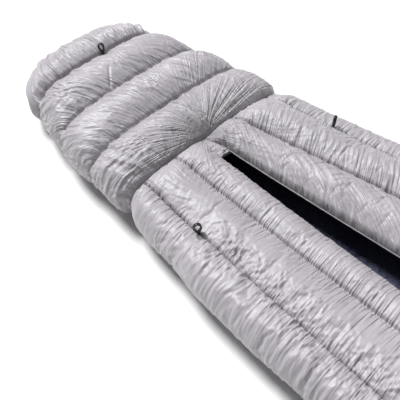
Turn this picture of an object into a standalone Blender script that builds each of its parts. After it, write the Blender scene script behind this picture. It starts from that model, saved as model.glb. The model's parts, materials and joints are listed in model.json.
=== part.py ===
"""Down camp quilt with a closed footbox, laid out with its open back up.

Frame: the quilt lies on z = 0, X runs across it, +Y runs towards the toes and +Z is up.
The origin is under the middle of the quilt. All sizes are in metres.

The quilt is a double-walled tube: an outer shell and a lining, held apart by baffle strips,
with down between them. One middle surface describes it. Each piece is the space between two
offsets of that surface, over its own run of cross lines and rows. The back is slit lengthwise,
and on each side of the slit a lapel folds outwards about a slanting fold line.
"""

import math

import bmesh
import bpy
import numpy as np
from mathutils import Matrix, Vector

# --- Driving dimensions -------------------------------------------------------------------
LENGTH = 1.98            # toe to head hem
TOE_DEPTH = 0.13         # domed toe, from its seam to the end
RING_WIDTH = 0.14        # width of each footbox chamber
RING_COUNT = 3
HEM_WIDTH = 0.012        # sewn hem at the head end
BINDING = 0.004          # width of the binding along the slit
LOFT = 0.046             # thickness of a chamber at its crest
SEAM_LOFT = 0.018        # thickness along a seam, where the baffle strip stands
FABRIC = 0.0006          # modelled thickness of shell, lining and baffle netting
GAP = 0.0003             # clearance between touching pieces
TOP_POWER = 3.0          # roundness of the upper half of the cross-section
FLOOR_POWER = 4.0        # the lower half is squarer
FLOOR_PRESS = 0.004      # the front's chambers are flattened by this much on the ground
FOOTBOX_LIFT = 0.0015    # the footbox hangs this far above the ground

S_HIP = RING_COUNT * RING_WIDTH      # s is the distance from the toe seam towards the head
S_SLIT = 0.470                       # the slit is open from here to the head
S_HEAD = LENGTH - TOE_DEPTH
S_HEM = S_HEAD - HEM_WIDTH
Y_SEAM = LENGTH / 2 - TOE_DEPTH      # y of the toe seam

WIDTH_KNOTS = (0.0, 0.13, 0.42, 0.87, 1.10, 1.40, 1.85)
HALF_WIDTHS = (0.212, 0.248, 0.285, 0.345, 0.356, 0.355, 0.325)
HEIGHT_KNOTS = (0.0, 0.42, 0.60, 1.40, 1.85)
HEIGHTS = (0.160, 0.156, 0.152, 0.150, 0.140)

# Slit edges: x where the slit opens, and its change per metre towards the head.
SEAM_KNOTS = (0.42, 0.62, 0.88, 1.20, 1.50, 1.85)
INNER_SEAM = {-1: (0.116, 0.127, 0.141, 0.156, 0.163, 0.156),   # x by knot, on each side of the slit
              1: (0.080, 0.110, 0.142, 0.160, 0.166, 0.158)}
OUTER_SEAM = (0.217, 0.238, 0.264, 0.287, 0.289, 0.268)
SLIT_LEFT_EDGE = (-0.036, -0.052)
SLIT_RIGHT_EDGE = (-0.004, 0.030)
GUSSET_HALF = 0.004      # half width of the gusset where it meets the footbox
FOLD_END_X = 0.250       # x of both fold lines at the head
FOLD_START_Z = 0.158
FOLD_END_Z = 0.144
FOLD_CUT = 0.0008        # half the clearance along a fold line

TAPE = 0.0016            # thickness of a loop's webbing
LOOP_WIDTH = 0.006
LOOP_REACH = 0.034
LOOP_SLIM = 0.50         # a loop's thickness as a share of its reach
LOOP_STAND = 0.0022      # a loop's pivot stands this far above the shell
LOOP_POINTS = 14
LOOP_PLACES = (("hip", 0.62), ("shoulder", 1.40))
TOE_LOOP_X = 0.020       # the toe loop stands a little off the centre line
TOE_LOOP_LEAN = -30      # degrees from upright, towards the toes
SIDE_LOOP_LEAN = 12      # degrees from upright, outwards
STUD_RADIUS = 0.0055
STUD_HEIGHT = 0.003
STUD_FROM_EDGE = 0.022

SILVER = (0.62, 0.60, 0.63, 1)
NAVY = (0.025, 0.030, 0.070, 1)
DOWN = (0.86, 0.85, 0.82, 1)
NET = (0.80, 0.80, 0.80, 1)
BLACK = (0.012, 0.012, 0.013, 1)

# The body's ten seams, in order round the section. L is the -X side and R the +X side.
SLIT_L, L1, L2, L3, L4, R4, R3, R2, R1, SLIT_R = range(10)
CHAMBER_STEPS = 3        # facets across a body chamber
RING_STEPS = 3           # facets across a footbox chamber
RING_POINTS = 24         # facets round the footbox
BODY_ROWS = (S_HIP, 0.445, S_SLIT, 0.54, 0.72, 0.95, 1.20, 1.45, 1.65, 1.79, S_HEM)
GUSSET_ROWS = BODY_ROWS[:3]
BINDING_ROWS = (S_SLIT + BINDING,) + BODY_ROWS[3:]
TOE_SHARES = (0, 0.18, 0.40, 0.68, 0.97)


# --- Middle surface -----------------------------------------------------------------------
def smooth(s, knots, values):
    """A smooth curve through values at knots."""
    knots, values = np.array(knots), np.array(values)
    slopes = np.gradient(values, knots)
    i = int(np.clip(np.searchsorted(knots, s) - 1, 0, len(knots) - 2))
    span = knots[i + 1] - knots[i]
    t = min(max((s - knots[i]) / span, 0.0), 1.0)
    rest = 1 - t
    ends = values[i] * rest * rest * (1 + 2 * t) + values[i + 1] * t * t * (3 - 2 * t)
    return float(ends + span * (slopes[i] * t * rest * rest - slopes[i + 1] * t * t * rest))


def section(s):
    """Half width, half height and centre height of the middle surface at s."""
    half_width = smooth(s, WIDTH_KNOTS, HALF_WIDTHS) - LOFT / 2
    height = smooth(s, HEIGHT_KNOTS, HEIGHTS)
    share = min(max((s - S_HIP) / 0.12, 0.0), 1.0)
    lift = FOOTBOX_LIFT - (FOOTBOX_LIFT + FLOOR_PRESS) * share * share * (3 - 2 * share)
    return half_width, (height - LOFT) / 2, height / 2 + lift


def surface(phi, s):
    """The point and outward normal at angle phi: 0 is the top, pi / 2 the -X side, pi the floor."""
    a, b, centre = section(s)
    power = TOP_POWER if math.cos(phi) > 0 else FLOOR_POWER
    across, up = -math.sin(phi), math.cos(phi)
    x = math.copysign(abs(across) ** (2 / power), across)
    z = math.copysign(abs(up) ** (2 / power), up)
    lean = math.copysign(abs(x) ** (power - 1), x) / a
    rise = math.copysign(abs(z) ** (power - 1), z) / b
    return Vector((a * x, Y_SEAM - s, centre + b * z)), Vector((lean, 0, rise)).normalized()


def angle_at(x, s, top):
    """The angle where the upper or the lower half of the surface is at x."""
    power = TOP_POWER if top else FLOOR_POWER
    share = min(abs(x) / section(s)[0], 1.0) ** (power / 2)
    angle = math.asin(share) if top else math.pi - math.asin(share)
    return angle if x < 0 else 2 * math.pi - angle


def slit_x(s, side):
    """x of the slit's edge. Towards the footbox the edges run together beside the gusset."""
    start, change = SLIT_LEFT_EDGE if side < 0 else SLIT_RIGHT_EDGE
    if s >= S_SLIT:
        return start + change * (s - S_SLIT)
    middle = (SLIT_LEFT_EDGE[0] + SLIT_RIGHT_EDGE[0]) / 2
    share = (s - S_HIP) / (S_SLIT - S_HIP)
    return (middle + side * GUSSET_HALF) * (1 - share) + start * share


def inner_seam_x(s, side):
    return smooth(s, SEAM_KNOTS, INNER_SEAM[side])


def outer_seam_x(s):
    return smooth(s, SEAM_KNOTS, OUTER_SEAM)


def fold_point(side, s):
    """The point of a lapel's fold line at s."""
    start = Vector((slit_x(S_SLIT, side) + side * BINDING, Y_SEAM - S_SLIT, FOLD_START_Z))
    end = Vector((side * FOLD_END_X, Y_SEAM - S_HEAD, FOLD_END_Z))
    return start.lerp(end, (s - S_SLIT) / (S_HEAD - S_SLIT))


def body_seams(s):
    """(x, on the upper half) of each seam of the body at s."""
    left, right, outer = inner_seam_x(s, -1), inner_seam_x(s, 1), outer_seam_x(s)
    side, front = 0.86 * section(s)[0], 0.29 * section(s)[0]
    edges = [slit_x(s, way) + way * (BINDING if s >= S_SLIT else 0) for way in (-1, 1)]
    upper = [(edges[0], True), (-left, True), (-outer, True)]
    lower = [(-side, False), (-front, False), (front, False), (side, False)]
    return upper + lower + [(outer, True), (right, True), (edges[1], True)]


def crown(share):
    return math.sin(math.pi * share) ** 0.75


def fullness(s):
    """Body chambers close at the hip seam and at the hem."""
    share = min((s - S_HIP) / 0.12, (S_HEM - s) / 0.12, 1.0)
    return math.sin(math.pi / 2 * max(share, 0.0)) ** 0.6


def span_line(seam_a, seam_b, s, loft):
    """Points of the surface from one seam to the next: (point, normal, thickness)."""
    (x_a, top_a), (x_b, top_b) = seam_a, seam_b
    angles = angle_at(x_a, s, top_a), angle_at(x_b, s, top_b)
    line = []
    for step in range(CHAMBER_STEPS + 1):
        share = step / CHAMBER_STEPS
        phi = angles[0] + (angles[1] - angles[0]) * share
        if top_a == top_b:
            phi = angle_at(x_a + (x_b - x_a) * share, s, top_a)
        point, normal = surface(phi, s)
        line.append((point, normal, SEAM_LOFT + (loft - SEAM_LOFT) * crown(share)))
    return line


def seams_line(seams, s, loft):
    line = []
    for first, second in zip(seams, seams[1:]):
        line = line[:-1] + span_line(first, second, s, loft)
    return line


def body_line(s):
    return seams_line(body_seams(s), s, SEAM_LOFT + (LOFT - SEAM_LOFT) * fullness(s))


def edge_line(xs, s):
    """A seam-thin line of the upper half, through the given x values."""
    return [surface(angle_at(x, s, True), s) + (SEAM_LOFT,) for x in xs]


def ring_line(s, thickness):
    """A closed cross-section of the footbox."""
    return [surface(2 * math.pi * i / RING_POINTS, s) + (thickness,) for i in range(RING_POINTS)]


def toe_line(share):
    """A ring of the toe's dome: share 0 is the toe seam and 1 the end."""
    angle = math.pi / 2 * share
    reach = math.sin(angle) * (TOE_DEPTH - LOFT / 2)
    size = math.cos(angle) ** 0.75
    thickness = SEAM_LOFT + (LOFT - SEAM_LOFT) * min(1.0, (2.2 * share) ** 0.6)
    centre = section(0.0)[2]
    upright = 1 - share * share
    line = []
    for point, normal, _ in ring_line(0.0, 0):
        at = Vector((point.x * size, Y_SEAM + reach, centre + (point.z - centre) * size))
        lean = Vector((normal.x * upright, share ** 1.4, normal.z * upright))
        line.append((at, lean.normalized(), thickness))
    return line


# --- Solids -------------------------------------------------------------------------------
def clear_scene():
    for old in list(bpy.data.objects):
        bpy.data.objects.remove(old)


def material(name, colour, roughness):
    made = bpy.data.materials.new(name)
    made.use_nodes = True
    shader = made.node_tree.nodes["Principled BSDF"]
    shader.inputs["Base Color"].default_value = colour
    shader.inputs["Roughness"].default_value = roughness
    shader.inputs["Metallic"].default_value = 0.0
    return made


def add_object(name, points, faces, finish):
    mesh = bpy.data.meshes.new(name)
    mesh.from_pydata([tuple(p) for p in points], [], faces)
    shape = bmesh.new()
    shape.from_mesh(mesh)
    bmesh.ops.recalc_face_normals(shape, faces=shape.faces)
    shape.to_mesh(mesh)
    shape.free()
    mesh.materials.append(finish)
    mesh.shade_smooth()
    mesh.set_sharp_from_angle(angle=math.radians(50))
    made = bpy.data.objects.new(name, mesh)
    bpy.context.scene.collection.objects.link(made)
    return made


def between(name, inside, outside, finish, ring=False, dome=False):
    """The closed solid between two grids. A ring's rows close on themselves; a dome's end is capped."""
    rows, columns = len(inside), len(inside[0])
    points = [p for grid in (inside, outside) for row in grid for p in row]
    shift = rows * columns
    cells = columns if ring else columns - 1
    faces = []
    for j in range(rows - 1):
        for i in range(cells):
            a, b = j * columns + i, j * columns + (i + 1) % columns
            c, d = b + columns, a + columns
            for corners in ((a, b, c), (a, c, d)):
                faces += [corners, tuple(corner + shift for corner in reversed(corners))]
    for j in ([0] if dome else [0, rows - 1]):
        for i in range(cells):
            a, b = j * columns + i, j * columns + (i + 1) % columns
            faces.append((a, a + shift, b + shift, b))
    for i in ([] if ring else [0, columns - 1]):
        for j in range(rows - 1):
            a, b = j * columns + i, (j + 1) * columns + i
            faces.append((a, b, b + shift, a + shift))
    if dome:
        last = (rows - 1) * columns
        faces.append(tuple(range(last, last + columns)))
        faces.append(tuple(range(last + shift, last + shift + columns)))
    return add_object(name, points, faces, finish)


def offset_grid(rows, outer, depth):
    """Points at a depth under the shell's outer face, or above the lining's inner face.

    The shell side is flattened where it would reach below the ground.
    """
    grid = []
    for row in rows:
        line = []
        for point, normal, thickness in row:
            at = point + normal * (thickness / 2 - depth) * (1 if outer else -1)
            if outer:
                at.z = max(at.z, depth)
            line.append(at)
        grid.append(line)
    return grid


def pull_in(grid, edge, sides, start, end):
    """Moves a grid's border inwards along its own facets, so that neighbours stay apart."""
    moved = [list(row) for row in grid]
    for row in moved if sides else []:
        first, last = (row[1] - row[0]).normalized(), (row[-2] - row[-1]).normalized()
        row[0], row[-1] = row[0] + first * edge, row[-1] + last * edge
    if start:
        moved[0] = [a + (b - a).normalized() * edge for a, b in zip(moved[0], moved[1])]
    if end:
        moved[-1] = [a + (b - a).normalized() * edge for a, b in zip(moved[-1], moved[-2])]
    return moved


def layer(name, rows, kind, finish, ring=False, dome=False):
    """A shell, a lining, the down between them, or a solid edge piece."""
    inset = FABRIC + GAP
    inside, outside = {
        "shell": (offset_grid(rows, True, FABRIC), offset_grid(rows, True, 0)),
        "lining": (offset_grid(rows, False, 0), offset_grid(rows, False, FABRIC)),
        "down": (offset_grid(rows, False, inset), offset_grid(rows, True, inset)),
        "edge": (offset_grid(rows, False, 0), offset_grid(rows, True, 0)),
    }[kind]
    edge = FABRIC / 2 + GAP if kind == "down" else GAP / 2
    borders = edge, not ring, True, not dome
    return between(name, pull_in(inside, *borders), pull_in(outside, *borders), finish[kind], ring, dome)


def long_baffle(name, rows, column, finish):
    """A strip of netting along a seam, from the lining to the shell."""
    left, right = [], []
    for row in rows:
        point, normal, thickness = row[column]
        along = (row[column + 1][0] - point).normalized()
        aside = (along - normal * along.dot(normal)).normalized() * FABRIC / 2
        half = thickness / 2 - FABRIC - GAP
        left.append([point + normal * reach - aside for reach in (-half, half)])
        right.append([point + normal * reach + aside for reach in (-half, half)])
    borders = GAP, False, True, True
    return between(name, pull_in(left, *borders), pull_in(right, *borders), finish["net"])


def ring_baffle(name, s, finish):
    half = SEAM_LOFT / 2 - FABRIC - GAP
    grids = []
    for shift in (-FABRIC / 2, FABRIC / 2):
        row = ring_line(s, SEAM_LOFT)
        grids.append([[p + n * reach + Vector((0, shift, 0)) for p, n, _ in row] for reach in (-half, half)])
    return between(name, *grids, finish["net"], ring=True)


def chambers(rows, first, last):
    """The part of each row between two seams."""
    return [row[first * CHAMBER_STEPS:last * CHAMBER_STEPS + 1] for row in rows]


# --- Body, flaps and lapels ---------------------------------------------------------------
def build_body(rows, finish):
    layer("front_shell", chambers(rows, L3, R3), "shell", finish)
    layer("left_side_shell", chambers(rows, L2, L3), "shell", finish)
    layer("right_side_shell", chambers(rows, R3, R2), "shell", finish)
    layer("body_lining", chambers(rows, L2, R2), "lining", finish)
    for name, first in (
        ("left_side_down", L2), ("front_left_down", L3), ("front_middle_down", L4),
        ("front_right_down", R4), ("right_side_down", R3),
    ):
        layer(name, chambers(rows, first, first + 1), "down", finish)
    for name, seam in (
        ("left_outer_baffle", L2), ("left_side_baffle", L3), ("left_front_baffle", L4),
        ("right_front_baffle", R4), ("right_side_baffle", R3), ("right_outer_baffle", R2),
    ):
        long_baffle(name, rows, seam * CHAMBER_STEPS, finish)
    hem = []
    for s in (S_HEM, S_HEAD):
        left, right = (edge_line([fold_point(side, s).x + side * FOLD_CUT], s) for side in (-1, 1))
        hem.append(left + seams_line(body_seams(s)[L2:R2 + 1], s, SEAM_LOFT) + right)
    layer("head_hem", hem, "edge", finish)
    middle = (SLIT_LEFT_EDGE[0] + SLIT_RIGHT_EDGE[0]) / 2
    gusset = [edge_line([slit_x(s, -1), middle, slit_x(s, 1)], s) for s in GUSSET_ROWS]
    layer("slit_gusset", gusset, "edge", finish)


def fold_area(name, side, lapel, finish):
    """A tall cutter over a lapel's plan area, or over the rest of that side."""
    start, end = fold_point(side, S_SLIT), fold_point(side, S_HEAD + 0.05)
    along = (end - start).normalized()
    outward = Vector((side * abs(along.y), abs(along.x), 0)).normalized()
    shift = outward * FOLD_CUT
    far, near = side * 0.6, -side * 0.5
    if lapel:
        first, last = start - shift, end - shift
        outline = [first[:2], last[:2], (near, last.y), (near, first.y)]
    else:
        first, last = start + shift, end + shift
        outline = [first[:2], last[:2], (far, last.y), (far, Y_SEAM), (near, Y_SEAM), (near, first.y)]
    count = len(outline)
    points = [(x, y, z) for z in (0.03, 0.30) for x, y in outline]
    faces = [tuple(range(count)), tuple(range(count, 2 * count))]
    faces += [(i, (i + 1) % count, (i + 1) % count + count, i + count) for i in range(count)]
    area = add_object(name, points, faces, finish["shell"])
    area.hide_render = True
    area.display_type = "WIRE"
    return area


def build_flap(word, side, rows, seams, finish):
    """One side of the slit back: the flap that stays, and the lapel that folds out."""
    edge, middle, outer = seams
    whole = chambers(rows, min(edge, outer), max(edge, outer))
    for part in ("flap", "lapel"):
        stem = f"{word}_{part}"
        area = fold_area(stem + "_area", side, part == "lapel", finish)
        for piece in (
            layer(stem + "_shell", whole, "shell", finish),
            layer(stem + "_lining", whole, "lining", finish),
            layer(stem + "_inner_down", chambers(rows, *sorted((edge, middle))), "down", finish),
            layer(stem + "_outer_down", chambers(rows, *sorted((middle, outer))), "down", finish),
            long_baffle(stem + "_baffle", rows, middle * CHAMBER_STEPS, finish),
        ):
            cut = piece.modifiers.new("fold_cut", "BOOLEAN")
            cut.operation = "INTERSECT"
            cut.solver = "EXACT"
            cut.object = area
    binding = [edge_line([slit_x(s, side), slit_x(s, side) + side * BINDING], s) for s in BINDING_ROWS]
    layer(f"{word}_binding", binding, "edge", finish)
    hem = []
    for s in (S_HEM, S_HEAD):
        fold_x = fold_point(side, s).x - side * FOLD_CUT
        hem.append(edge_line([slit_x(s, side), side * inner_seam_x(s, side), fold_x], s))
    layer(f"{word}_lapel_hem", hem, "edge", finish)


# --- Footbox ------------------------------------------------------------------------------
def build_footbox(finish):
    rows = []
    for j in range(RING_COUNT * RING_STEPS + 1):
        loft = SEAM_LOFT + (LOFT - SEAM_LOFT) * crown(j % RING_STEPS / RING_STEPS)
        rows.append(ring_line(RING_WIDTH * j / RING_STEPS, loft))
    layer("footbox_shell", rows, "shell", finish, ring=True)
    layer("footbox_lining", rows, "lining", finish, ring=True)
    for k in range(RING_COUNT):
        part = rows[k * RING_STEPS:(k + 1) * RING_STEPS + 1]
        layer(f"footbox_down_{k + 1}", part, "down", finish, ring=True)
        if k:
            ring_baffle(f"footbox_baffle_{k}", RING_WIDTH * k, finish)
    toe = [toe_line(share) for share in TOE_SHARES]
    for kind in ("shell", "lining", "down"):
        layer(f"toe_{kind}", toe, kind, finish, ring=True, dome=True)


# --- Webbing loops and press stud ---------------------------------------------------------
def loop_piece(name, root, across, lean, finish):
    """A folded webbing loop that stands on its stitched root, with its hollow along across.

    The object's origin is on the pivot: the line of stitches, along across.
    """
    along = Matrix.Rotation(math.radians(lean), 3, across) @ Vector((0, 0, 1))
    aside = across.cross(along)
    grids = []
    for inset in (0.0, TAPE):
        line = []
        for i in range(LOOP_POINTS):
            angle = 2 * math.pi * i / LOOP_POINTS
            half = LOOP_REACH / 2 - inset
            swell = LOOP_REACH * LOOP_SLIM / 2 * (0.9 - 0.4 * math.cos(angle)) - inset
            centre = along * (LOOP_REACH / 2)
            line.append(centre - along * math.cos(angle) * half + aside * math.sin(angle) * swell)
        grids.append([[p + across * reach for p in line] for reach in (-LOOP_WIDTH / 2, LOOP_WIDTH / 2)])
    between(name, grids[1], grids[0], finish["tape"], ring=True).location = root


def above_shell(x, s, height, face=1):
    """A point this far off the seam-thin shell (face 1) or lining (face -1) at x, and the way out."""
    point, normal = surface(angle_at(x, s, True), s)
    return point + normal * face * (SEAM_LOFT / 2 + height), normal * face


def build_loops(finish):
    root = above_shell(TOE_LOOP_X, 0.0, LOOP_STAND)[0]
    loop_piece("toe_loop", root, Vector((1, 0, 0)), TOE_LOOP_LEAN, finish)
    for word, side in (("left", -1), ("right", 1)):
        for place, s in LOOP_PLACES:
            root = above_shell(side * outer_seam_x(s), s, LOOP_STAND)[0]
            loop_piece(f"{word}_{place}_loop", root, Vector((0, 1, 0)), side * SIDE_LOOP_LEAN, finish)


def build_stud(finish):
    """A press stud on one lapel's corner, and its socket inside the other's."""
    s = S_HEM - 0.012
    for name, side, face in (("neck_stud", 1, 1), ("neck_socket", -1, -1)):
        x = slit_x(s, side) + side * STUD_FROM_EDGE
        centre, out = above_shell(x, s, STUD_HEIGHT / 2 + 0.0045, face)
        shape = bmesh.new()
        bmesh.ops.create_cone(
            shape, cap_ends=True, segments=12, radius1=STUD_RADIUS, radius2=STUD_RADIUS * 0.75,
            depth=STUD_HEIGHT, matrix=out.to_track_quat("Z", "Y").to_matrix().to_4x4(),
        )
        mesh = bpy.data.meshes.new(name)
        shape.to_mesh(mesh)
        shape.free()
        mesh.materials.append(finish["tape"])
        stud = bpy.data.objects.new(name, mesh)
        stud.location = centre
        bpy.context.scene.collection.objects.link(stud)


def main():
    clear_scene()
    shell = material("silver_shell", SILVER, 0.36)
    finish = {
        "shell": shell,
        "edge": shell,
        "lining": material("navy_lining", NAVY, 0.5),
        "down": material("white_down", DOWN, 0.95),
        "net": material("baffle_net", NET, 0.8),
        "tape": material("black_webbing", BLACK, 0.3),
    }
    rows = [body_line(s) for s in BODY_ROWS]
    build_body(rows, finish)
    build_flap("left", -1, rows, (SLIT_L, L1, L2), finish)
    build_flap("right", 1, rows, (SLIT_R, R1, R2), finish)
    build_footbox(finish)
    build_loops(finish)
    build_stud(finish)


main()
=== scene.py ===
"""Looks of the down camp quilt: puffed shell and lining, gathered seams, bindings, webbing loops."""

import json
import math

import bmesh
import bpy
import numpy as np
from mathutils import Matrix, Vector

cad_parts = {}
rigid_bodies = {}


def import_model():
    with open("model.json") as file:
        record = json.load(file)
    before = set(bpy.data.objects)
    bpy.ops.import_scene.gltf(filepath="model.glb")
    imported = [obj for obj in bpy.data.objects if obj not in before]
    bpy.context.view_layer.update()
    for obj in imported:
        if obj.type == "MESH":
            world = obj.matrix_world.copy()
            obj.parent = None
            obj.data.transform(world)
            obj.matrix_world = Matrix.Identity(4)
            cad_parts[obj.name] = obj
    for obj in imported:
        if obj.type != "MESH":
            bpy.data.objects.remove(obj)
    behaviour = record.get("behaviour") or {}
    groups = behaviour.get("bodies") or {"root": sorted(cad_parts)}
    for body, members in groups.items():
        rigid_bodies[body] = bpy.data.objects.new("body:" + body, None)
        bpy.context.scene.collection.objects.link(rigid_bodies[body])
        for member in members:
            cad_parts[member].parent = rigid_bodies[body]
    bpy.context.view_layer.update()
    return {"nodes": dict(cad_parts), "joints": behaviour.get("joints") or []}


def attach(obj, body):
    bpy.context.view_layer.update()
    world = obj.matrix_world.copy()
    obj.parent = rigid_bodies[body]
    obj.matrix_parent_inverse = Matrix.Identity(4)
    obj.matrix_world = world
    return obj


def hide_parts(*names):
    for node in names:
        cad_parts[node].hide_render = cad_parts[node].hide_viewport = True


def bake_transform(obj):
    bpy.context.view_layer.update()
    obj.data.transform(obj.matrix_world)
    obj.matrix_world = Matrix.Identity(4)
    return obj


for old in list(bpy.data.objects):
    bpy.data.objects.remove(old)
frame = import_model()

# --- The quilt's own sizes, in metres, as the solids have them ---
TOE_DEPTH, RING_WIDTH, RING_COUNT = 0.13, 0.14, 3
S_HIP, S_SLIT, S_HEAD = 0.42, 0.47, 1.85    # s is the distance from the toe seam towards the head
RING_SEAMS = tuple(RING_WIDTH * number for number in range(RING_COUNT))
Y_SEAM = 0.86                               # y of the toe seam
LOFT = 0.046                                # thickness of a chamber at its crest
TOP_POWER, FLOOR_POWER = 3.0, 4.0           # roundness of the section's upper and lower half
FLOOR_PRESS, FOOTBOX_LIFT = 0.004, 0.0015
WIDTH_KNOTS = (0.0, 0.13, 0.42, 0.87, 1.10, 1.40, 1.85)
HALF_WIDTHS = (0.212, 0.248, 0.285, 0.345, 0.356, 0.355, 0.325)
HEIGHT_KNOTS = (0.0, 0.42, 0.60, 1.40, 1.85)
HEIGHTS = (0.160, 0.156, 0.152, 0.150, 0.140)
SLIT_EDGES = {-1: (-0.036, -0.052), 1: (-0.004, 0.030)}    # x where it opens, its change per metre
GUSSET_HALF = 0.004                         # half width of the gusset at the hip seam
SEAM_KNOTS = (0.42, 0.62, 0.88, 1.20, 1.50, 1.85)
INNER_SEAM = {-1: (0.116, 0.127, 0.141, 0.156, 0.163, 0.156),
              1: (0.080, 0.110, 0.142, 0.160, 0.166, 0.158)}
OUTER_SEAM = (0.217, 0.238, 0.264, 0.287, 0.289, 0.268)
FLOOR_SEAMS = (-0.86, -0.29, 0.29, 0.86)    # x of the front's seams, as shares of the half width

# --- Shapes of the finished skins ---
CELL = 0.0052            # size of a mesh cell of the blown shell; the finished one has half of it
FLAP_CELLS, GUSSET_CELLS = (22, 24), (14,)  # cells across each chamber
BODY_CELLS = (34, 14, 16, 14, 34)
FOOT_CELLS, TOE_ROWS = 240, 31              # cells round the footbox, rows over the toe's dome
SEAM_LEVEL = 0.001       # the shell at a seam stands this far off the middle surface
HIP_LEVEL = -0.006       # the same at the deep seam between footbox and body
EDGE_LEVEL = -0.005      # at the slit's left edge
RISE = 0.024             # how much higher a chamber's crest is, before it is blown up
LEFT_RISE = (0.017, 0.012)  # the same for the left flap, whose down lies flatter
SIDE_RISE = 0.019        # the same for the side and front chambers
LINING_LEVEL = -0.008    # the lining at a seam
LINING_RISE = -0.012     # how much lower it hangs in the middle of a chamber
# The cloth that a shell is blown up from; it is cut a little larger than its seams
CLOTH = {"quality": 6, "mass": 0.2, "tension_stiffness": 12, "compression_stiffness": 12,
         "shear_stiffness": 4, "bending_stiffness": 0.05, "vertex_group_mass": "held",
         "use_pressure": True, "uniform_pressure_force": 16.0, "shrink_min": -0.010}
FREE_CELLS = 8           # the blown shell moves freely from this many cells off a seam
MOST_MOVE = 0.022        # and no further than this
FRAMES = 20
GUSSET_END, GUSSET_TUCK, GUSSET_HOLLOW = 0.508, 0.008, 0.011
GROOVE, GROOVE_WIDTH = 0.0032, 0.0030       # the stitches draw the shell in by this along a seam
TUCK_START, TUCK_ANGLE, TUCK_LENGTH = (-0.018, 0.070), 37.6, 0.085    # x and s, degrees, metres
TUCK_DEPTH, TUCK_WIDTH = 0.0032, 0.0026
GATHER = (-0.012, S_HIP)    # x and s of the point that the hip seam is gathered to
GATHER_FOLD = 0.0026     # height of the creases round that point
GATHER_DIP, GATHER_REACH = 0.009, 0.030
RUFFLED_FROM = 0.60      # the left side seam is ruffled from here to the head
RUFFLE_LIFT = 0.011      # and is drawn less deep there
# Puckers at the footbox's seams, from the toe: strength and reach on the toe side, strength on the other
FOOT_PUCKERS = ((3.6, 3.4, 1.9), (1.6, 1.8, 2.0), (1.6, 1.8, 1.9), (1.5, 1.6, 1.4))
HEM_REACH, HEM_THICK = 0.006, 0.0042        # half the hem's width and thickness at the head end
BINDING_ACROSS, BINDING_UP = 0.0018, 0.0016    # half the binding's width and thickness
# Finest pleats: the mesh layer they follow, waves per unit along and across, depth, reach from the seam
PLEATS = (("pleats", 150, 12, 1.1, 0.014), ("pleats", 78, 7, 2.0, 0.034), ("fan", 17, 5, 2.8, 0.20))
FAR_FROM_SEAM = 0.05     # stands for the lining, which has no pleats

# --- Loops ---
TOE_LOOP_REACH, SIDE_LOOP_REACH = 0.026, 0.032
LOOP_WIDTH, LOOP_THICK = 0.0066, 0.0027
LOOP_SLIM = 0.50         # a loop's width as a share of its reach
LOOP_TAIL = 0.012        # its two ends go this far down into the seam
LEG_GAP = 0.0009         # half the distance between the two legs at the root
TOE_LOOP_LEAN, SIDE_LOOP_LEAN, LOOP_TWIST = -20, 10, 34
LOOP_DIMPLE, LOOP_DIMPLE_REACH = 0.0045, 0.020   # the toe loop pulls the seam down round its root
TACK_ACROSS, TACK_UP = 0.0021, 0.0013

# --- Camera and light ---
CAMERA_PLACE, CAMERA_LENS = (-0.934, Y_SEAM - 1.302, 1.285), 63.0
CAMERA_AZIMUTH, CAMERA_ELEVATION = -45.702, 47.434
KEY_FROM, KEY_LIGHT, KEY_SPREAD = (0.02, 0.64, 0.77), 4.5, 0.40
FILL_FROM, FILL_LIGHT, FILL_SPREAD = (0.30, -0.20, 0.93), 0.6, 0.8
WORLD_LIGHT = 0.13
FLOOR_SIZE, FLOOR_Z = 14.0, -0.0005

FLIPPED = ("right", "foot")    # skins whose grid runs the other way round
NOISE_SIZE = 256
ALONG_Y, UPWARDS = np.array([[0, 1.0, 0]]), np.array([[0, 0, 1.0]])


# --- Numbers ---
def smooth(s, knots, values):
    """A smooth curve through values at knots, for an array s."""
    knots, values = np.array(knots), np.array(values)
    slopes = np.gradient(values, knots)
    i = np.clip(np.searchsorted(knots, s) - 1, 0, len(knots) - 2)
    span = knots[i + 1] - knots[i]
    t = np.clip((s - knots[i]) / span, 0, 1)
    rest = 1 - t
    ends = values[i] * rest * rest * (1 + 2 * t) + values[i + 1] * t * t * (3 - 2 * t)
    return ends + span * (slopes[i] * t * rest * rest - slopes[i + 1] * t * t * rest)


def ease(t):
    t = np.clip(t, 0, 1)
    return t * t * (3 - 2 * t)


def unit(vectors):
    return vectors / np.maximum(np.linalg.norm(vectors, axis=-1, keepdims=True), 1e-12)


def lattice(u, v):
    """The four corners of the cell round each point: place in a table, weight, and steps from it."""
    u, v = np.broadcast_arrays(np.asarray(u, float), np.asarray(v, float))
    i, j = np.floor(u).astype(int), np.floor(v).astype(int)
    fu, fv = u - i, v - j
    share_u = fu ** 3 * (fu * (fu * 6 - 15) + 10)
    share_v = fv ** 3 * (fv * (fv * 6 - 15) + 10)
    for a, part_u in ((0, 1 - share_u), (1, share_u)):
        for b, part_v in ((0, 1 - share_v), (1, share_v)):
            at = (i + a) % NOISE_SIZE, (j + b) % NOISE_SIZE
            yield at, part_u * part_v, fu - a, fv - b


def value_noise(u, v, seed):
    """Smooth noise between -1 and 1, one cell per unit of u and v."""
    table = np.random.default_rng(seed).uniform(-1, 1, (NOISE_SIZE, NOISE_SIZE))
    return sum(share * table[at] for at, share, _, _ in lattice(u, v))


def gradient_noise(u, v, seed):
    """Noise that is zero at whole numbers and swings either way between them."""
    turn = np.random.default_rng(seed).uniform(0, 2 * math.pi, (NOISE_SIZE, NOISE_SIZE))
    lean_u, lean_v = np.cos(turn), np.sin(turn)
    return 1.5 * sum(share * (lean_u[at] * du + lean_v[at] * dv) for at, share, du, dv in lattice(u, v))


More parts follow.
